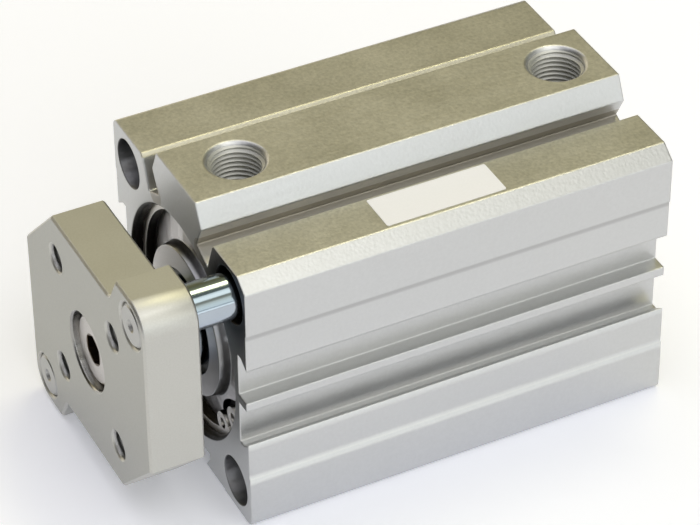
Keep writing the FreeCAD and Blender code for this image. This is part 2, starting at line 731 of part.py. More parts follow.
def make_end_plate():
    body = new_body("end_plate")
    half = [
        ("-plate_half", "-plate_half"), ("-ear_tip", "-plate_half"), ("-ear_root", "-plate_flat_half"),
        ("plate_half - corner_cut", "-plate_flat_half"), ("plate_half", "corner_cut - plate_flat_half"),
    ]
    corners = half + [(f"-({across})", f"-({up})") for across, up in half]
    block = outline(body, "plate_outline", "YZ_Plane", corners, "plate_gap")
    pad(body, "plate_block", block, "plate_thickness")
    tip, root, flat = value_of("plate_half"), value_of("ear_root"), value_of("plate_flat_half")
    tips = long_edges_at(body, [(tip, tip), (-tip, -tip)])
    dress("Fillet", body, "ear_corners", tips, "Radius", "ear_round")
    roots = long_edges_at(body, [(root, flat), (-root, -flat)])
    dress("Fillet", body, "ear_roots", roots, "Radius", "ear_root_round")
    front = value_of("plate_front")
    rims = edges_where(body, lambda edge: edge.BoundBox.XLength < 1e-6)
    dress("Chamfer", body, "broken_edges", rims, "Size", "edge_break")

    taps = [(f"{across}tap_half", f"{up}tap_half", "tap_hole / 2") for across in "+-" for up in "+-"]
    pocket(body, "tapped_holes", circles(body, "tapped_hole_centres", "YZ_Plane", taps, "plate_front"))
    hole = circles(body, "screw_hole_centre", "YZ_Plane", [("0", "0", "screw_hole / 2")], "plate_front")
    pocket(body, "screw_hole", hole)
    seat_row = [("0", "0", "screw_counterbore / 2")]
    seat = circles(body, "screw_seat_centre", "YZ_Plane", seat_row, "plate_front")
    pocket(body, "screw_seat", seat, "screw_recess + screw_head_height")
    rods = [(f"{sign}guide_half", f"{sign}guide_half", "guide_radius + fit_gap") for sign in "+-"]
    pocket(body, "guide_rod_holes", circles(body, "guide_rod_centres", "YZ_Plane", rods, "plate_front"))
    mouths = []
    guide_hole = value_of("guide_radius") + value_of("fit_gap")
    for radius in (value_of("tap_hole") / 2, value_of("screw_counterbore") / 2, guide_hole):
        mouths += round_edges_at(body, front, radius)
    dress("Chamfer", body, "hole_mouths", mouths, "Size", "edge_break")


def make_plate_screw():
    screw = turned("plate_screw", [
        ("head_top", "0"), ("head_top", "screw_head / 2 - screw_head_round"),
        ("head_top - screw_head_round", "screw_head / 2"), ("head_seat", "screw_head / 2"),
        ("head_seat", "screw_size / 2"), ("screw_end + screw_head_round", "screw_size / 2"),
        ("screw_end", "screw_size / 2 - screw_head_round"), ("screw_end", "0"),
    ])
    socket = hexagon(screw, "plate_screw_hexagon", "screw_hex", "head_top")
    pocket(screw, "plate_screw_socket", socket, "screw_hex_depth")


def make_guide_rods():
    for label, sign in (("guide_rod_upper", "+"), ("guide_rod_lower", "-")):
        rod = turned(label, [
            ("guide_start - guide_centre_depth", "0"), ("guide_start", "guide_centre / 2"),
            ("guide_start", "guide_radius - guide_chamfer"), ("guide_start - guide_chamfer", "guide_radius"),
            ("guide_chamfer - guide_end", "guide_radius"), ("-guide_end", "guide_radius - guide_chamfer"),
            ("-guide_end", "guide_centre / 2"), ("guide_centre_depth - guide_end", "0"),
        ])
        at_corner(rod, sign)


make_cylinder_body()
make_front_end()
make_rear_end()
make_guide_bushes()
make_piston_rod()
make_piston()
make_end_plate()
make_plate_screw()
make_guide_rods()
doc.recompute()

for item in doc.Objects:
    if {"Invalid", "Error"} & set(item.State):
        raise RuntimeError(f"{item.Name} failed: {item.State}")
for part in parts:
    if part.Shape.isNull() or not part.Shape.isValid() or len(part.Shape.Solids) != 1:
        raise RuntimeError(f"{part.Label} is not one valid solid")

os.makedirs("parts", exist_ok=True)
for part in parts:
    part.Shape.exportStep(f"parts/{part.Label}.step")
    box = part.Shape.BoundBox
    print(f"{part.Label}: {part.Shape.Volume:.1f} mm3, X {box.XMin:.2f} to {box.XMax:.2f}")
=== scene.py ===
import json
import math
import bmesh
import bpy
from mathutils import Matrix, Vector


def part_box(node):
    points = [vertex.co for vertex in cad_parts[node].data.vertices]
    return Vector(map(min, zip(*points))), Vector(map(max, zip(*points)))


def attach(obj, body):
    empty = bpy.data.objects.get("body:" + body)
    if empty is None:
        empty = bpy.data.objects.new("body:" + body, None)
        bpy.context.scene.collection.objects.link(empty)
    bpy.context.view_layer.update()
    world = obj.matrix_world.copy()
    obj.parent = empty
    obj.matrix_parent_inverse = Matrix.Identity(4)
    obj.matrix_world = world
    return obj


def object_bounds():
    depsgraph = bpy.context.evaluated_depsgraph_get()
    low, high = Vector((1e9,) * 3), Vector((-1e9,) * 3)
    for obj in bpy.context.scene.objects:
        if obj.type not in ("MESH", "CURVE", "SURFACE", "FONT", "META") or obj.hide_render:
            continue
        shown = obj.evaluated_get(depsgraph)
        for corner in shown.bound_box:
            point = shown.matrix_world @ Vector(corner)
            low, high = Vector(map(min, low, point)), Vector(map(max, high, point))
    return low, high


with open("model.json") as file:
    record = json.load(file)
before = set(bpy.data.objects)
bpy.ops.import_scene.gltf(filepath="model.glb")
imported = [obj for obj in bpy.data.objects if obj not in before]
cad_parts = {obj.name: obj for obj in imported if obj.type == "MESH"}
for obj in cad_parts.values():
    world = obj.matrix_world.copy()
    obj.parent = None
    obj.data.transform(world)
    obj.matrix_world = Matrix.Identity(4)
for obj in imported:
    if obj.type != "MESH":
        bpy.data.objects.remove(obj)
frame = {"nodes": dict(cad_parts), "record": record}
nodes = frame["nodes"]
cadBox = [list(corner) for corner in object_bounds()]
mm = 0.001


# small helpers for shader trees

def addNode(tree, kind, settings=None, inputs=None):
    made = tree.nodes.new(kind)
    for name, value in (settings or {}).items():
        setattr(made, name, value)
    for name, value in (inputs or {}).items():
        made.inputs[name].default_value = value
    return made


def wire(tree, source, target):
    tree.links.new(source, target)


def mathNode(tree, operation, first, second=None, third=None):
    made = addNode(tree, "ShaderNodeMath", {"operation": operation})
    for socket, value in zip(made.inputs, (first, second, third)):
        if isinstance(value, bpy.types.NodeSocket):
            wire(tree, value, socket)
        elif value is not None:
            socket.default_value = value
    return made.outputs["Value"]


def vectorNode(tree, operation, first, second=None):
    made = addNode(tree, "ShaderNodeVectorMath", {"operation": operation})
    for socket, value in zip(made.inputs, (first, second)):
        if isinstance(value, bpy.types.NodeSocket):
            wire(tree, value, socket)
        elif value is not None:
            socket.default_value = value
    return made


def spread(tree, value, low, high, newLow, newHigh):
    # remaps a value and clamps it to the new ends
    made = addNode(tree, "ShaderNodeMapRange", {"clamp": True})
    wire(tree, value, made.inputs["Value"])
    for name, number in (("From Min", low), ("From Max", high), ("To Min", newLow), ("To Max", newHigh)):
        made.inputs[name].default_value = number
    return made.outputs["Result"]


def mixValues(tree, first, second, share):
    return mathNode(tree, "MULTIPLY_ADD", first, share, mathNode(tree, "MULTIPLY", second, 1 - share))


def mixColour(tree, factor, first, second, blend="MIX"):
    made = addNode(tree, "ShaderNodeMix", {"data_type": "RGBA", "blend_type": blend})
    for socket, value in ((made.inputs[0], factor), (made.inputs[6], first), (made.inputs[7], second)):
        if isinstance(value, bpy.types.NodeSocket):
            wire(tree, value, socket)
        else:
            socket.default_value = value
    return made.outputs[2]


def newGroup(name, inputs, outputs):
    group = bpy.data.node_groups.new(name, "ShaderNodeTree")
    for label, kind, value in inputs:
        socket = group.interface.new_socket(name=label, in_out="INPUT", socket_type=kind)
        socket.default_value = value
    for label, kind in outputs:
        group.interface.new_socket(name=label, in_out="OUTPUT", socket_type=kind)
    return group, group.nodes.new("NodeGroupInput"), group.nodes.new("NodeGroupOutput")


def placeGroup(tree, group, values=None):
    made = addNode(tree, "ShaderNodeGroup", {"node_tree": group})
    for name, value in (values or {}).items():
        made.inputs[name].default_value = value
    return made


# shared effects

noiseSpan = (0.3, 0.7)  # the part of a noise that is spread from 0 to 1


def makeBlastGroup():
    # bead-blasted skin: fine grain, tiny dimples and slow clouds, all in real millimetres
    group, given, result = newGroup(
        "beadBlast",
        [("Grain mm", "NodeSocketFloat", 0.2), ("Cloud mm", "NodeSocketFloat", 9.0)],
        [("Grain", "NodeSocketFloat"), ("Cloud", "NodeSocketFloat"), ("Height", "NodeSocketFloat")])
    place = addNode(group, "ShaderNodeTexCoord").outputs["Object"]
    grainScale = mathNode(group, "DIVIDE", 1 / mm, given.outputs["Grain mm"])
    cloudScale = mathNode(group, "DIVIDE", 1 / mm, given.outputs["Cloud mm"])
    grain = addNode(group, "ShaderNodeTexNoise", inputs={"Detail": 2.0, "Roughness": 0.6})
    cloud = addNode(group, "ShaderNodeTexNoise", inputs={"Detail": 3.0, "Roughness": 0.55})
    dimple = addNode(group, "ShaderNodeTexVoronoi", {"feature": "SMOOTH_F1"}, {"Smoothness": 0.6})
    for texture, scale in ((grain, grainScale), (cloud, cloudScale), (dimple, grainScale)):
        wire(group, place, texture.inputs["Vector"])
        wire(group, scale, texture.inputs["Scale"])
    wire(group, spread(group, grain.outputs["Fac"], *noiseSpan, 0, 1), result.inputs["Grain"])
    wire(group, spread(group, cloud.outputs["Fac"], *noiseSpan, 0, 1), result.inputs["Cloud"])
    bumps = mathNode(group, "ADD", grain.outputs["Fac"], dimple.outputs["Distance"])
    wire(group, bumps, result.inputs["Height"])
    return group


def makeDrawnGroup():
    # faint lines along X, left by the die or by a milling feed
    group, given, result = newGroup(
        "drawnLines", [("Pitch mm", "NodeSocketFloat", 0.4)], [("Lines", "NodeSocketFloat")])
    place = addNode(group, "ShaderNodeTexCoord").outputs["Object"]
    stretch = addNode(group, "ShaderNodeMapping", inputs={"Scale": (0.02, 1, 1)})
    wire(group, place, stretch.inputs["Vector"])
    lines = addNode(group, "ShaderNodeTexNoise", inputs={"Detail": 3.0, "Roughness": 0.65})
    wire(group, stretch.outputs["Vector"], lines.inputs["Vector"])
    wire(group, mathNode(group, "DIVIDE", 1 / mm, given.outputs["Pitch mm"]), lines.inputs["Scale"])
    wire(group, spread(group, lines.outputs["Fac"], *noiseSpan, 0, 1), result.inputs["Lines"])
    return group


def makeTurnedGroup():
    # turning marks: rings about an axis along X through the given centre
    group, given, result = newGroup(
        "turnedRings",
        [("Centre", "NodeSocketVector", (0, 0, 0)), ("Pitch mm", "NodeSocketFloat", 0.12)],
        [("Rings", "NodeSocketFloat"), ("Height", "NodeSocketFloat")])
    place = addNode(group, "ShaderNodeTexCoord").outputs["Object"]
    away = vectorNode(group, "SUBTRACT", place, given.outputs["Centre"])
    parts = addNode(group, "ShaderNodeSeparateXYZ")
    wire(group, away.outputs["Vector"], parts.inputs["Vector"])
    square = mathNode(group, "MULTIPLY", parts.outputs["Y"], parts.outputs["Y"])
    squares = mathNode(group, "MULTIPLY_ADD", parts.outputs["Z"], parts.outputs["Z"], square)
    radius = mathNode(group, "SQRT", squares)
    feed = mathNode(group, "ADD", radius, parts.outputs["X"])
    noise = addNode(
        group, "ShaderNodeTexNoise", {"noise_dimensions": "1D"}, {"Detail": 3.0, "Roughness": 0.7})
    wire(group, feed, noise.inputs["W"])
    wire(group, mathNode(group, "DIVIDE", 1 / mm, given.outputs["Pitch mm"]), noise.inputs["Scale"])
    wire(group, spread(group, noise.outputs["Fac"], *noiseSpan, 0, 1), result.inputs["Rings"])
    wire(group, noise.outputs["Fac"], result.inputs["Height"])
    return group


edgeSpans = {"samples": 6, "worn": (0.995, 0.85)}  # the rounded normal's lean where wear starts and is full


def makeEdgeGroup():
    # 1 on worn or polished edges, 0 on the open faces, and the normal of an edge worn round
    group, given, result = newGroup(
        "edgeMask", [("Width mm", "NodeSocketFloat", 0.25)],
        [("Edge", "NodeSocketFloat"), ("Normal", "NodeSocketVector")])
    rounded = addNode(group, "ShaderNodeBevel", {"samples": edgeSpans["samples"]})
    wire(group, mathNode(group, "MULTIPLY", given.outputs["Width mm"], mm), rounded.inputs["Radius"])
    flat = addNode(group, "ShaderNodeNewGeometry")
    same = vectorNode(group, "DOT_PRODUCT", rounded.outputs["Normal"], flat.outputs["Normal"])
    wire(group, spread(group, same.outputs["Value"], *edgeSpans["worn"], 0, 1), result.inputs["Edge"])
    wire(group, rounded.outputs["Normal"], result.inputs["Normal"])
    return group


# where each mask starts and is full: parts of a normal, mm past the reach, or a share of the reach
zoneSpans = {
    "square": (0.90, 0.97), "lean": (0.25, 0.40), "wall": (0.3, 0.6),
    "rim": (0.02, -0.02), "raised": (0, 0.5), "frontShade": (0.0, -6.5), "near": (1.0, 0.35),
}
zoneNames = ("End", "Lean", "Inner", "Outer", "Within", "FrontShade", "Near", "Up")


def makeZoneGroup():
    # masks about a line along X: square faces (End), faces that lean (Lean), walls that look at the line
    # (Inner) or away (Outer), all within the reach (Within), front faces that fade out to the reach, for a
    # painted shade, the long faces close to the line (Near), and level faces higher than the reach (Up)
    group, given, result = newGroup(
        "faceZones",
        [("Centre", "NodeSocketVector", (0, 0, 0)), ("Reach mm", "NodeSocketFloat", 10.0)],
        [(label, "NodeSocketFloat") for label in zoneNames])
    reach = given.outputs["Reach mm"]
    place = addNode(group, "ShaderNodeTexCoord")
    facing = addNode(group, "ShaderNodeSeparateXYZ")
    wire(group, place.outputs["Normal"], facing.inputs["Vector"])
    square = mathNode(group, "ABSOLUTE", facing.outputs["X"])
    end = spread(group, square, *zoneSpans["square"], 0, 1)
    wire(group, end, result.inputs["End"])
    wire(group, spread(group, square, *zoneSpans["lean"], 0, 1), result.inputs["Lean"])
    away = vectorNode(group, "SUBTRACT", place.outputs["Object"], given.outputs["Centre"]).outputs["Vector"]
    flat = vectorNode(group, "MULTIPLY", away, (0, 1, 1)).outputs["Vector"]
    radius = mathNode(group, "DIVIDE", vectorNode(group, "LENGTH", flat).outputs["Value"], mm)
    beyond = mathNode(group, "SUBTRACT", radius, reach)
    within = spread(group, beyond, *zoneSpans["rim"], 0, 1)
    wire(group, within, result.inputs["Within"])
    outward = vectorNode(group, "NORMALIZE", flat).outputs["Vector"]
    turned = vectorNode(group, "DOT_PRODUCT", outward, place.outputs["Normal"]).outputs["Value"]
    for label, sign in (("Inner", -1), ("Outer", 1)):
        side = spread(group, turned, *(sign * bound for bound in zoneSpans["wall"]), 0, 1)
        wire(group, mathNode(group, "MULTIPLY", side, within), result.inputs[label])
    height = addNode(group, "ShaderNodeSeparateXYZ")
    wire(group, away, height.inputs["Vector"])
    over = mathNode(group, "SUBTRACT", mathNode(group, "DIVIDE", height.outputs["Z"], mm), reach)
    level = spread(group, facing.outputs["Z"], *zoneSpans["square"], 0, 1)
    raised = spread(group, over, *zoneSpans["raised"], 0, 1)
    wire(group, mathNode(group, "MULTIPLY", level, raised), result.inputs["Up"])
    front = spread(group, facing.outputs["X"], *zoneSpans["square"], 0, 1)
    fading = spread(group, beyond, *zoneSpans["frontShade"], 0, 1)
    wire(group, mathNode(group, "MULTIPLY", front, fading), result.inputs["FrontShade"])
    close = spread(group, mathNode(group, "DIVIDE", radius, reach), *zoneSpans["near"], 0, 1)
    long = mathNode(group, "SUBTRACT", 1.0, end)
    wire(group, mathNode(group, "MULTIPLY", close, long), result.inputs["Near"])
    return group


beadBlast = makeBlastGroup()
drawnLines = makeDrawnGroup()
turnedRings = makeTurnedGroup()
edgeMask = makeEdgeGroup()
faceZones = makeZoneGroup()
print("shared effects:", len(bpy.data.node_groups))


# finishes

def newFinish(name):
    material = bpy.data.materials.new(name)
    material.use_nodes = True
    tree = material.node_tree
    return material, tree, tree.nodes["Principled BSDF"]


def addBump(tree, shader, height, distance, normal=None):
    bump = addNode(tree, "ShaderNodeBump", inputs={"Distance": distance * mm})
    wire(tree, height, bump.inputs["Height"])
    if normal:
        wire(tree, normal, bump.inputs["Normal"])
    wire(tree, bump.outputs["Normal"], shader.inputs["Normal"])


guideHalf = (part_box("guide_rod_upper")[0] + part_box("guide_rod_upper")[1])[1] / 2
axis = (0, 0, 0)
guideUp = (0, guideHalf, guideHalf)
guideDown = (0, -guideHalf, -guideHalf)
boltUp = (0, -guideHalf, guideHalf)
boltDown = (0, guideHalf, -guideHalf)
lugCentre = (0, 15.56 * mm, -15.56 * mm)  # middle of the room for the circlip's eyes
# near-black painted shade for bores, recesses and the circlip's inner edge
paintedShadeBlack = (0.020, 0.017, 0.015, 1)
# grey painted shade for the walls of the bolt bores
paintedBoltShade = (0.20, 0.20, 0.205, 1)
# brownish painted shade on the floors of the slots beside the port pad
paintedSlotShade = (0.40, 0.38, 0.345, 1)
# dark painted shade on the front faces round the guide rods
paintedFrontShade = (0.06, 0.06, 0.07, 1)
slotRight = (0, 9.0 * mm, 21.2 * mm)  # floors of the two slots beside the port pad
slotLeft = (0, -9.0 * mm, 21.2 * mm)
leadRight = (0, 14.03 * mm, 25.72 * mm)  # rounded leads at the slots' outer lips
leadLeft = (0, -14.03 * mm, 25.72 * mm)
# cream painted highlight on the slots' rounded leads
paintedLeadHighlight = (0.56, 0.54, 0.445, 1)
# grey painted shadow under the side panels' upper steps
paintedStepShadow = (0.455, 0.455, 0.46, 1)
shadowStepRight = (0, 25.9 * mm, 14.9 * mm)  # painted shadow just under the upper steps of the side panels, then the lower steps
shadowStepLeft = (0, -25.9 * mm, 14.9 * mm)
footRight = (0, 25.9 * mm, -15.55 * mm)
footLeft = (0, -25.9 * mm, -15.55 * mm)
slantRight = (0, 0.906, 0.423)  # normals of the slants there
slantLeft = (0, -0.906, 0.423)
lipRight = (0, 26.3 * mm, -8.3 * mm)  # lower lips of the side channels
lipLeft = (0, -26.3 * mm, -8.3 * mm)

# a zone is a mask, a centre line, a reach in mm and the tone there; a slant has a normal in place of the tone
barrelLook = {
    "pale": (0.605, 0.61, 0.615, 1), "deep": (0.575, 0.58, 0.585, 1), "edge": (0.70, 0.70, 0.68, 1),
    # on the flat tops: blasting grain, with a painted warm reflection and painted glints
    "topPale": (0.70, 0.69, 0.65, 1), "topDeep": (0.505, 0.505, 0.48, 1), "topMm": 25.0,
    # end: painted shade multiplied onto the square end faces
    "end": (0.95, 0.95, 0.94, 1),
    "grainMm": 0.6, "cloudMm": 11, "linesMm": 0.5, "rough": (0.37, 0.45), "bumpMm": 0.014, "edgeMm": 0.45,
    "zones": [
        # painted shade: near-black inside the barrel bore and the guide rods' bush bores
        ("Inner", axis, 22.0, paintedShadeBlack),
        ("Inner", guideUp, 5.7, paintedShadeBlack), ("Inner", guideDown, 5.7, paintedShadeBlack),
        # painted shade on the walls of the bolt bores
        ("Inner", boltUp, 4.7, paintedBoltShade), ("Inner", boltDown, 4.7, paintedBoltShade),
        # painted shade on the slot floors under the pad's overhang
        ("Within", slotRight, 2.4, paintedSlotShade), ("Within", slotLeft, 2.4, paintedSlotShade),
        # painted highlight: a cream tint on the rounded leads
        ("Within", leadRight, 0.5, paintedLeadHighlight), ("Within", leadLeft, 0.5, paintedLeadHighlight),
        # painted shade on the front faces round the guide rods
        ("FrontShade", guideUp, 12.5, paintedFrontShade), ("FrontShade", guideDown, 12.5, paintedFrontShade),
        # painted shadow on the panel just under each upper step
        ("Near", shadowStepRight, 0.75, paintedStepShadow), ("Near", shadowStepLeft, 0.75, paintedStepShadow),
    ],
    "slants": [
        (footRight, 1.3, slantRight), (footLeft, 1.3, slantLeft),
        (lipRight, 1.3, slantRight), (lipLeft, 1.3, slantLeft),
    ],
}
plateLook = {
    "pale": (0.575, 0.57, 0.54, 1), "deep": (0.525, 0.52, 0.49, 1), "edge": (0.64, 0.64, 0.62, 1),
    # end: painted shade multiplied onto the square end faces
    "end": (0.80, 0.805, 0.79, 1),
    "grainMm": 0.3, "cloudMm": 14, "linesMm": 0.3, "rough": (0.44, 0.50), "bumpMm": 0.003, "edgeMm": 0.2,
    # painted shade: the screw's counterbore wall is darkened
    "zones": [("Inner", axis, 8.0, (0.34, 0.335, 0.32, 1))], "gloss": ("Inner", axis, 8.0, 0.22),
}
coverLook = {
    "pale": (0.78, 0.76, 0.76, 1), "deep": (0.70, 0.68, 0.68, 1), "edge": (0.80, 0.80, 0.78, 1),
    # end: painted shade multiplied onto the square end faces
    "end": (0.84, 0.84, 0.84, 1),
    "grainMm": 0.2, "cloudMm": 8, "linesMm": 0.2, "rough": (0.33, 0.40), "bumpMm": 0.003, "edgeMm": 0.15,
    "zones": [
        # painted shade: near-black on the cover's inner walls and in the room for the circlip's eyes
        ("Inner", axis, 20.4, paintedShadeBlack), ("Within", lugCentre, 7.3, paintedShadeBlack),
        # painted dark reflection on the boss's side wall
        ("Outer", axis, 14.3, (0.33, 0.33, 0.335, 1)),
    ],
    "gloss": ("Outer", axis, 14.3, 0.27),
}
grainShare = 0.7  # of the speckle; the rest is cloud
edgeShare = 0.5  # how far an edge takes its own lighter tone: partly wear, partly a painted highlight


def zoneMask(tree, kind, centre, reach):
    return placeGroup(tree, faceZones, {"Centre": centre, "Reach mm": reach}).outputs[kind]


def anodisedFinish(name, look):
    # blasted and clear anodised aluminium: edges lighter from wear and a painted highlight, square end faces
    # darker as a painted shade, and each zone's painted shade, shadow, reflection or highlight laid on top
    material, tree, shader = newFinish(name)
    blast = placeGroup(tree, beadBlast, {"Grain mm": look["grainMm"], "Cloud mm": look["cloudMm"]})
    lines = placeGroup(tree, drawnLines, {"Pitch mm": look["linesMm"]})
    edges = placeGroup(tree, edgeMask, {"Width mm": look["edgeMm"]})
    speckle = mixValues(tree, blast.outputs["Grain"], blast.outputs["Cloud"], grainShare)
    deep, pale = look["deep"], look["pale"]
    if "topPale" in look:  # the flat tops take a warmer, livelier speckle: blasting grain, with a painted warm reflection and painted glints
        top = zoneMask(tree, "Up", axis, look["topMm"])
        deep = mixColour(tree, top, deep, look["topDeep"])
        pale = mixColour(tree, top, pale, look["topPale"])
    colour = mixColour(tree, speckle, deep, pale)
    # edges lighter: partly wear, partly a painted highlight
    worn = mathNode(tree, "MULTIPLY", edges.outputs["Edge"], edgeShare)
    colour = mixColour(tree, worn, colour, look["edge"])
    # painted shade: the square end faces are darkened
    shadedEnd = placeGroup(tree, faceZones).outputs["End"]
    colour = mixColour(tree, shadedEnd, colour, look["end"], "MULTIPLY")
    for kind, centre, reach, tone in look["zones"]:
        colour = mixColour(tree, zoneMask(tree, kind, centre, reach), colour, tone)
    drawn = mixValues(tree, lines.outputs["Lines"], blast.outputs["Cloud"], 0.5)
    sheen = spread(tree, drawn, 0, 1, *look["rough"])
    if "gloss" in look:  # walls turned or bored after the anodising
        kind, centre, reach, smooth = look["gloss"]
        mask = zoneMask(tree, kind, centre, reach)
        sheen = mathNode(tree, "MULTIPLY_ADD", mask, smooth - look["rough"][0], sheen)
    wire(tree, colour, shader.inputs["Base Color"])
    wire(tree, sheen, shader.inputs["Roughness"])
    normal = edges.outputs["Normal"]
    for centre, reach, facing in look.get("slants", []):  # steps that run out in a slant
        lean = addNode(tree, "ShaderNodeMix", {"data_type": "VECTOR"})
        wire(tree, zoneMask(tree, "Near", centre, reach), lean.inputs[0])
        wire(tree, normal, lean.inputs[4])
        lean.inputs[5].default_value = facing
        normal = vectorNode(tree, "NORMALIZE", lean.outputs[1]).outputs["Vector"]
    addBump(tree, shader, blast.outputs["Height"], look["bumpMm"], normal)
    shader.inputs["Metallic"].default_value = 1.0
    return material


pistonLook = {
    "pale": (0.80, 0.80, 0.80, 1), "deep": (0.66, 0.66, 0.66, 1), "rough": (0.18, 0.34), "pitchMm": 0.16,
}
screwLook = {
    "pale": (0.58, 0.555, 0.54, 1), "deep": (0.46, 0.44, 0.425, 1), "rough": (0.24, 0.38), "pitchMm": 0.10,
    # painted shade: the hex socket is darkened
    "zones": [("Within", axis, 2.9, (0.10, 0.075, 0.050, 1))],
}
clipLook = {
    "pale": (0.94, 0.91, 0.87, 1), "deep": (0.80, 0.77, 0.73, 1), "rough": (0.33, 0.46), "pitchMm": 0.3,
    # painted shade: near-black on the circlip's inner edge
    "zones": [("Inner", axis, 19.6, paintedShadeBlack)],
}
bushLook = {
    "pale": (0.13, 0.075, 0.05, 1), "deep": (0.05, 0.03, 0.022, 1), "rough": (0.30, 0.46), "pitchMm": 0.2,
}
threadLook = {
    "pale": (0.70, 0.70, 0.67, 1), "deep": (0.56, 0.56, 0.53, 1), "rough": (0.52, 0.64), "pitchMm": 0.12,
}
tapLook = {
    "pale": (0.46, 0.46, 0.45, 1), "deep": (0.36, 0.36, 0.35, 1), "rough": (0.36, 0.48), "pitchMm": 0.12,
}
turnedBumpMm = 0.002


def turnedFinish(name, look):
    # bare or plated metal with turning marks about the cylinder's axis
    material, tree, shader = newFinish(name)
    rings = placeGroup(tree, turnedRings, {"Pitch mm": look["pitchMm"]})
    blast = placeGroup(tree, beadBlast, {"Cloud mm": 4})
    tone = mixValues(tree, rings.outputs["Rings"], blast.outputs["Cloud"], 0.5)
    colour = mixColour(tree, tone, look["deep"], look["pale"])
    for kind, centre, reach, dark in look.get("zones", []):
        colour = mixColour(tree, zoneMask(tree, kind, centre, reach), colour, dark)
    wire(tree, colour, shader.inputs["Base Color"])
    wire(tree, spread(tree, tone, 0, 1, *look["rough"]), shader.inputs["Roughness"])
    addBump(tree, shader, rings.outputs["Height"], turnedBumpMm)
    shader.inputs["Metallic"].default_value = 1.0
    return material


chromeLook = {
    # the chrome's blue tint is a painted reflection
    "pale": (0.46, 0.515, 0.58, 1), "deep": (0.43, 0.48, 0.545, 1), "rough": (0.09, 0.15), "pitchMm": 0.05,
    "end": (0.46, 0.46, 0.445, 1), "endRough": 0.30, "bumpMm": 0.0004,
    # painted dark reflection on the rods' upper side
    "upperReflection": (0.245, 0.295, 0.33, 1), "upperReflectionFrom": (0.28, 0.48),
}


def chromeFinish(name, look, centre):
    # ground and chromed rod: a mirror with the faintest grinding rings, a painted dark reflection on its
    # upper side and plain ends
    material, tree, shader = newFinish(name)
    rings = placeGroup(tree, turnedRings, {"Centre": centre, "Pitch mm": look["pitchMm"]})
    blast = placeGroup(tree, beadBlast, {"Cloud mm": 6})
    end = placeGroup(tree, faceZones).outputs["Lean"]
    colour = mixColour(tree, blast.outputs["Cloud"], look["deep"], look["pale"])
    facing = addNode(tree, "ShaderNodeSeparateXYZ")
    wire(tree, addNode(tree, "ShaderNodeTexCoord").outputs["Normal"], facing.inputs["Vector"])
    upperReflection = spread(tree, facing.outputs["Z"], *look["upperReflectionFrom"], 0, 1)
    colour = mixColour(tree, upperReflection, colour, look["upperReflection"])
    wire(tree, mixColour(tree, end, colour, look["end"]), shader.inputs["Base Color"])
    sheen = spread(tree, rings.outputs["Rings"], 0, 1, *look["rough"])
    wire(tree, mathNode(tree, "MULTIPLY_ADD", end, look["endRough"], sheen), shader.inputs["Roughness"])
    addBump(tree, shader, rings.outputs["Height"], look["bumpMm"])
    shader.inputs["Metallic"].default_value = 1.0
    return material


rubberLook = {
    "pale": (0.035, 0.035, 0.036, 1), "deep": (0.014, 0.014, 0.015, 1),
    "rough": (0.48, 0.66), "grainMm": 0.35,
}
sealLook = {
    "pale": (0.055, 0.06, 0.065, 1), "deep": (0.025, 0.027, 0.03, 1), "rough": (0.30, 0.42), "grainMm": 0.5,
}
wearLook = {
    "pale": (0.82, 0.80, 0.74, 1), "deep": (0.70, 0.68, 0.61, 1), "rough": (0.42, 0.56), "grainMm": 0.3,
}
magnetLook = {
    "pale": (0.13, 0.13, 0.135, 1), "deep": (0.06, 0.06, 0.065, 1), "rough": (0.50, 0.68), "grainMm": 0.25,
}
mouldedBumpMm = 0.006


def mouldedFinish(name, look):
    # rubber, plastic and ferrite: matt, lightly mottled, not metal
    material, tree, shader = newFinish(name)
    blast = placeGroup(tree, beadBlast, {"Grain mm": look["grainMm"], "Cloud mm": 5})
    colour = mixColour(tree, blast.outputs["Grain"], look["deep"], look["pale"])
    wire(tree, colour, shader.inputs["Base Color"])
    wire(tree, spread(tree, blast.outputs["Cloud"], 0, 1, *look["rough"]), shader.inputs["Roughness"])
    addBump(tree, shader, blast.outputs["Height"], mouldedBumpMm)
    return material


barrelFinish = anodisedFinish("barrelAnodised", barrelLook)
plateFinish = anodisedFinish("plateAnodised", plateLook)
coverFinish = anodisedFinish("coverAnodised", coverLook)
pistonFinish = turnedFinish("pistonTurned", pistonLook)
screwFinish = turnedFinish("screwPlated", screwLook)
clipFinish = turnedFinish("clipSteel", clipLook)
bushFinish = turnedFinish("bushBronze", bushLook)
portThreadFinish = turnedFinish("portThreadCut", threadLook)
tapThreadFinish = turnedFinish("tapThreadCut", tapLook)
rodFinish = chromeFinish("rodChrome", chromeLook, axis)
upperGuideFinish = chromeFinish("upperGuideChrome", chromeLook, guideUp)
lowerGuideFinish = chromeFinish("lowerGuideChrome", chromeLook, guideDown)
rubberFinish = mouldedFinish("rubberBlack", rubberLook)
sealFinish = mouldedFinish("sealPolyurethane", sealLook)
wearFinish = mouldedFinish("wearPlastic", wearLook)
magnetFinish = mouldedFinish("magnetFerrite", magnetLook)

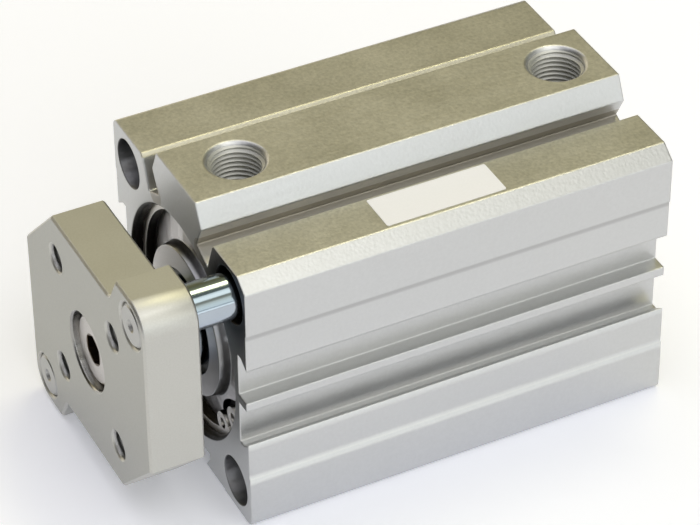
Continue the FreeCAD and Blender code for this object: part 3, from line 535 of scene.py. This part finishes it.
pieceFinishes = {
    "cylinder_body": barrelFinish, "end_plate": plateFinish,
    "front_cover": coverFinish, "rear_cover": coverFinish,
    "front_circlip": clipFinish, "rear_circlip": clipFinish,
    "plate_screw": screwFinish, "piston_screw": screwFinish,
    "piston_rod": rodFinish, "guide_rod_upper": upperGuideFinish, "guide_rod_lower": lowerGuideFinish,
    "rod_bush": bushFinish, "guide_bush_upper": bushFinish, "guide_bush_lower": bushFinish,
    "front_cover_o_ring": rubberFinish, "rear_cover_o_ring": rubberFinish, "rod_o_ring": rubberFinish,
    "front_bumper": rubberFinish, "rear_bumper": rubberFinish,
    "rod_seal": sealFinish, "piston_seal": sealFinish,
    "piston": pistonFinish, "magnet_washer": pistonFinish,
    "wear_ring": wearFinish, "magnet_ring": magnetFinish,
}
for name, finish in pieceFinishes.items():
    nodes[name].material_slots[0].material = finish
print("finishes:", len(pieceFinishes), "pieces dressed")


# threads of the ports and of the plate's tapped holes, as thin sleeves in the bored holes
portThread = {
    "pitchMm": 0.907, "rootMm": 0.05, "crestMm": 0.55, "steps": 72, "leadMm": 0.585,
    "finish": portThreadFinish,
}
tapThread = {
    "pitchMm": 1.0, "rootMm": 0.03, "crestMm": 0.16, "steps": 40, "leadMm": 0.4, "finish": tapThreadFinish,
}
threadRows = [(0.0, 0.0), (0.12, 0.0), (0.50, 1.0), (0.62, 1.0)]  # shares of a turn and of the height
threadFit = {"wallMm": 0.003, "leastMm": 0.004, "mergeMm": 0.0005, "clearMm": 0.0002, "sharpDegrees": 40}


def threadHeight(turn):
    share = turn % 1.0
    for (start, low), (stop, high) in zip(threadRows, threadRows[1:] + [(1.0, 0.0)]):
        if share <= stop:
            return low + (high - low) * (share - start) / (stop - start)


def makeThread(name, look, radius, length, turn):
    # rows follow the helix, and both ends are cut off square
    # the mouth is at the origin, and the hole runs down -Z
    pitch, steps, perTurn = look["pitchMm"] * mm, look["steps"], len(threadRows)
    outer = radius - threadFit["wallMm"] * mm
    rows = perTurn * (math.ceil(length / pitch) + 2)
    angles = [2 * math.pi * step / steps for step in range(steps)]
    build = bmesh.new()
    columns = []
    for step, angle in enumerate(angles):
        column = []
        for row in range(rows + perTurn + 1):
            along = (row // perTurn + threadRows[row % perTurn][0] - 1 + step / steps) * pitch
            depth = min(max(along, 0.0), length)
            height = threadHeight(depth / pitch - step / steps)
            reach = radius - (look["rootMm"] + height * (look["crestMm"] - look["rootMm"])) * mm
            reach = max(reach, radius - depth)  # the mouth's cone cuts the first turn
            reach = min(reach, outer - threadFit["leastMm"] * mm)
            column.append(build.verts.new((reach * math.cos(angle), reach * math.sin(angle), -depth)))
        columns.append(column)
    top = [build.verts.new((outer * math.cos(angle), outer * math.sin(angle), 0)) for angle in angles]
    low = [build.verts.new((corner.co.x, corner.co.y, -length)) for corner in top]
    for step in range(steps):
        here, after = columns[step], columns[(step + 1) % steps]
        shift = perTurn if step + 1 == steps else 0
        for row in range(rows):
            build.faces.new((here[row], here[row + 1], after[row + 1 + shift], after[row + shift]))
        following = (step + 1) % steps
        build.faces.new((top[step], here[0], after[shift], top[following]))
        build.faces.new((low[step], low[following], after[rows + shift], here[rows]))
        build.faces.new((top[step], top[following], low[following], low[step]))
    bmesh.ops.remove_doubles(build, verts=build.verts, dist=threadFit["mergeMm"] * mm)
    bmesh.ops.dissolve_degenerate(build, edges=build.edges, dist=threadFit["clearMm"] * mm)
    bmesh.ops.recalc_face_normals(build, faces=build.faces)
    build.transform(turn)
    mesh = bpy.data.meshes.new(name)
    build.to_mesh(mesh)
    build.free()
    for face in mesh.polygons:
        face.use_smooth = True
    mesh.set_sharp_from_angle(angle=math.radians(threadFit["sharpDegrees"]))
    piece = bpy.data.objects.new(name, mesh)
    mesh.materials.append(look["finish"])
    bpy.context.scene.collection.objects.link(piece)
    return piece


mounts = {mount["name"]: mount for mount in frame["record"]["mounts"]}


def cutPortThreads():
    padTop = cadBox[1][2]
    for name in ("front_port", "rear_port"):
        dims = mounts[name]["dims"]
        radius, length = dims["r_mm"] * mm, dims["length_mm"] * mm
        mouth = Vector((mounts[name]["pos_m"][0], 0, padTop - portThread["leadMm"] * mm))
        piece = makeThread(name + "_thread", portThread, radius, length, Matrix.Translation(mouth))
        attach(piece, "barrel")


def cutPlateThreads():
    dims = mounts["plate_taps"]["dims"]
    radius, across = dims["hole_r_mm"] * mm, dims["pcd_mm"] * mm / 2
    back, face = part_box("end_plate")[0].x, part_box("end_plate")[1].x
    lead = tapThread["leadMm"] * mm
    for turn in range(dims["count"]):
        angle = math.pi * (0.25 + turn / 2)
        mouth = Vector((face - lead, across * math.cos(angle), across * math.sin(angle)))
        stand = Matrix.Translation(mouth) @ Matrix.Rotation(math.pi / 2, 4, "Y")
        piece = makeThread(f"plate_tap_thread_{turn + 1}", tapThread, radius, face - back - 2 * lead, stand)
        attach(piece, "rod_unit")


cutPortThreads()
cutPlateThreads()
print("threads: 2 ports and", mounts["plate_taps"]["dims"]["count"], "tapped holes")


# blank label on the barrel's flat top
labelLook = {
    "fromMm": (-49.6, 14.75), "toMm": (-27.5, 22.45), "liftMm": 0.003, "thickMm": 0.06,
    "roundMm": 0.3, "roundSteps": 4,
    "pale": (0.95, 0.95, 0.98, 1), "deep": (0.93, 0.93, 0.96, 1), "rough": (0.30, 0.40), "grainMm": 0.4,
}


def makeLabel():
    low, high = (Vector(corner) * mm for corner in (labelLook["fromMm"], labelLook["toMm"]))
    bend, steps = labelLook["roundMm"] * mm, labelLook["roundSteps"]
    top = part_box("cylinder_body")[1].y  # the section is square: the flat top is as high as the side is wide
    outline = []
    for turn, (x, y) in enumerate(((high.x, high.y), (low.x, high.y), (low.x, low.y), (high.x, low.y))):
        inset = Vector((-bend if x == high.x else bend, -bend if y == high.y else bend))
        for part in range(steps + 1):
            angle = math.pi / 2 * (turn + part / steps)
            outline.append(Vector((x, y)) + inset + Vector((math.cos(angle), math.sin(angle))) * bend)
    build = bmesh.new()
    under = [build.verts.new((spot.x, spot.y, top + labelLook["liftMm"] * mm)) for spot in outline]
    over = [build.verts.new((spot.x, spot.y, top + labelLook["thickMm"] * mm)) for spot in outline]
    build.faces.new(over)
    build.faces.new(list(reversed(under)))
    for first in range(len(outline)):
        second = (first + 1) % len(outline)
        build.faces.new((under[first], under[second], over[second], over[first]))
    mesh = bpy.data.meshes.new("blankLabel")
    build.to_mesh(mesh)
    build.free()
    mesh.materials.append(mouldedFinish("labelVinyl", labelLook))
    piece = bpy.data.objects.new("blankLabel", mesh)
    bpy.context.scene.collection.objects.link(piece)
    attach(piece, "barrel")


makeLabel()
print("label: blank")


# softened edges on the larger machined pieces
softening = {"mergeMm": 0.002, "flatDegrees": 0.4, "sharpDegrees": 24, "segments": 2}
softWidthsMm = {
    "cylinder_body": 0.13, "end_plate": 0.10, "front_cover": 0.12, "plate_screw": 0.08, "front_circlip": 0.12,
}


def softenEdges(piece, width):
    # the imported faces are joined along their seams, cleared of flat splits, then bevelled
    weld = piece.modifiers.new("joinSeams", "WELD")
    weld.merge_threshold = softening["mergeMm"] * mm
    flat = piece.modifiers.new("clearSplits", "DECIMATE")
    flat.decimate_type = "DISSOLVE"
    flat.angle_limit = math.radians(softening["flatDegrees"])
    bevel = piece.modifiers.new("softEdges", "BEVEL")
    bevel.width = width * mm
    bevel.segments = softening["segments"]
    bevel.limit_method = "ANGLE"
    bevel.angle_limit = math.radians(softening["sharpDegrees"])
    bevel.use_clamp_overlap = False
    bevel.harden_normals = True


for name, width in softWidthsMm.items():
    softenEdges(nodes[name], width)
print("edges:", len(softWidthsMm), "pieces softened")


# stage: floor, lamps, sky and camera
floorLook = {
    "size": 8.0, "gapMm": 0.05, "colour": (0.885, 0.893, 0.965, 1), "rough": 0.9, "specular": 0.1,
    "glow": 0.22, "glowColour": (0.94, 0.96, 1, 1),
}


def makeFloor():
    half = floorLook["size"] / 2
    corners = [(-half, -half, 0), (half, -half, 0), (half, half, 0), (-half, half, 0)]
    mesh = bpy.data.meshes.new("floor")
    mesh.from_pydata(corners, [], [(0, 1, 2, 3)])
    floor = bpy.data.objects.new("floor", mesh)
    floor.location.z = cadBox[0][2] - floorLook["gapMm"] * mm
    bpy.context.scene.collection.objects.link(floor)
    material, tree, shader = newFinish("floorPaper")
    shader.inputs["Base Color"].default_value = floorLook["colour"]
    shader.inputs["Roughness"].default_value = floorLook["rough"]
    shader.inputs["Specular IOR Level"].default_value = floorLook["specular"]
    # the paper is white to the eye and in mirrors, and keeps its shadow
    rays = addNode(tree, "ShaderNodeLightPath")
    seen = mathNode(tree, "MAXIMUM", rays.outputs["Is Camera Ray"], rays.outputs["Is Glossy Ray"])
    shader.inputs["Emission Color"].default_value = floorLook["glowColour"]
    wire(tree, mathNode(tree, "MULTIPLY", seen, floorLook["glow"]), shader.inputs["Emission Strength"])
    floor.data.materials.append(material)


lamps = {
    "sideBox": {
        "place": (-0.20, 0.625, 1.083), "size": (0.78, 0.485), "power": 2.4, "colour": (1.0, 0.99, 0.94),
    },
    "backStrip": {
        "place": (-0.45, -0.25, 1.21), "size": (0.5, 0.22), "power": 3.2, "colour": (1.0, 0.93, 0.58),
    },
}


def makeLamp(name, look):
    data = bpy.data.lights.new(name, "AREA")
    data.shape = "RECTANGLE"
    data.size, data.size_y = look["size"]
    data.energy = look["power"]
    data.color = look["colour"]
    lamp = bpy.data.objects.new(name, data)
    lamp.location = look["place"]
    lamp.rotation_euler = (-Vector(look["place"])).to_track_quat("-Z", "Y").to_euler()
    lamp.visible_camera = False
    bpy.context.scene.collection.objects.link(lamp)


# bands of the room in degrees, from the +Y horizon over the top to the -Y horizon, and their change along X
# rise, fall: strength; hood: less of it high up towards +X; zenith: fill straight above; cool: tint
skyLook = {
    "bands": [
        (0, (1.90, 1.95, 1.91, 1)), (6, (1.90, 1.95, 1.91, 1)), (7.5, (0.40, 0.49, 0.52, 1)),
        (10, (0.40, 0.49, 0.52, 1)), (11.5, (1.90, 1.95, 1.91, 1)), (24, (1.90, 1.94, 1.84, 1)),
        (34, (1.55, 1.52, 1.35, 1)), (42, (0.60, 0.57, 0.45, 1)), (64, (0.75, 0.75, 0.72, 1)),
        (72, (0.24, 0.28, 0.25, 1)), (95, (0.24, 0.28, 0.24, 1)), (102, (0.70, 0.68, 0.50, 1)),
        (116, (0.70, 0.66, 0.42, 1)), (124, (0.45, 0.42, 0.25, 1)), (140, (0.17, 0.145, 0.04, 1)),
        (154, (0.42, 0.36, 0.19, 1)), (180, (1.1, 1.0, 0.74, 1)),
    ],
    "rise": (-0.60, 0.10, 0.44, 1.9), "fall": (0.40, 0.62, 1.0, 0.12),
    "hood": (-0.30, 0.05, 1.0, 0.47), "hoodLean": 0.6, "hoodAbove": (-0.20, 0.25),
    "zenith": (1.38, 1.37, 1.34, 1), "zenithX": (-0.25, 0.0), "zenithZ": (0.60, 0.85),
    "cool": (1.0, 1.0, 1.08, 1), "coolX": (-0.1, 0.3),
}


def makeSky():
    world = bpy.data.worlds.new("studio")
    bpy.context.scene.world = world
    world.use_nodes = True
    tree = world.node_tree
    way = addNode(tree, "ShaderNodeSeparateXYZ")
    wire(tree, addNode(tree, "ShaderNodeTexCoord").outputs["Generated"], way.inputs["Vector"])
    angle = mathNode(tree, "ARCTAN2", way.outputs["Z"], way.outputs["Y"])
    room = addNode(tree, "ShaderNodeValToRGB")
    wire(tree, mathNode(tree, "DIVIDE", angle, math.pi), room.inputs["Fac"])
    stops = room.color_ramp.elements
    for place, (degrees, colour) in enumerate(skyLook["bands"]):
        stop = stops[place] if place < 2 else stops.new(degrees / 180)  # a new ramp has two stops
        stop.position = degrees / 180
        stop.color = colour
    rise = spread(tree, way.outputs["X"], *skyLook["rise"])
    lean = mathNode(tree, "MULTIPLY_ADD", way.outputs["Y"], skyLook["hoodLean"], way.outputs["Z"])
    above = spread(tree, lean, *skyLook["hoodAbove"], 0, 1)  # all but the low far side
    hood = mathNode(tree, "SUBTRACT", spread(tree, way.outputs["X"], *skyLook["hood"]), 1.0)
    rise = mathNode(tree, "MULTIPLY", rise, mathNode(tree, "MULTIPLY_ADD", above, hood, 1.0))
    fade = mathNode(tree, "MULTIPLY", rise, spread(tree, way.outputs["X"], *skyLook["fall"]))
    cooler = spread(tree, way.outputs["X"], *skyLook["coolX"], 0, 1)
    sideways = spread(tree, way.outputs["X"], *skyLook["zenithX"], 0, 1)
    upward = spread(tree, way.outputs["Z"], *skyLook["zenithZ"], 0, 1)
    overhead = mathNode(tree, "MULTIPLY", sideways, upward)
    filled = mixColour(tree, overhead, room.outputs["Color"], skyLook["zenith"])
    tinted = mixColour(tree, cooler, filled, skyLook["cool"], "MULTIPLY")
    background = tree.nodes["Background"]
    wire(tree, tinted, background.inputs["Color"])
    wire(tree, fade, background.inputs["Strength"])


cameraLook = {
    "target": (-0.029999, 0.005751, 0.006164), "distance": 0.578053,
    "azimuth": 153.344, "elevation": 38.106, "roll": -0.392,
    "focalPixels": 3403.965, "image": (700, 525), "centre": (355.456, 261.53),
}


def makeCamera():
    data = bpy.data.cameras.new("photoView")
    data.sensor_width = 36.0
    width, height = cameraLook["image"]
    data.lens = cameraLook["focalPixels"] * data.sensor_width / width
    data.shift_x = (width / 2 - cameraLook["centre"][0]) / width
    data.shift_y = (cameraLook["centre"][1] - height / 2) / width
    data.clip_start = 0.01
    around, above = math.radians(cameraLook["azimuth"]), math.radians(cameraLook["elevation"])
    level = Vector((math.sin(around), -math.cos(around), 0))
    back = level * math.cos(above) + Vector((0, 0, math.sin(above)))
    right = Vector((0, 0, 1)).cross(back).normalized()
    turned = Matrix.Rotation(math.radians(cameraLook["roll"]), 3, back)
    right = turned @ right
    up = back.cross(right)
    camera = bpy.data.objects.new("photoView", data)
    facing = Matrix((right, up, back)).transposed().to_4x4()
    stand = Vector(cameraLook["target"]) + back * cameraLook["distance"]
    camera.matrix_world = Matrix.Translation(stand) @ facing
    bpy.context.scene.collection.objects.link(camera)
    bpy.context.scene.camera = camera


makeFloor()
for name, look in lamps.items():
    makeLamp(name, look)
makeSky()
makeCamera()
bpy.context.scene.view_settings.view_transform = "Standard"
print("stage:", len(lamps), "lamps")
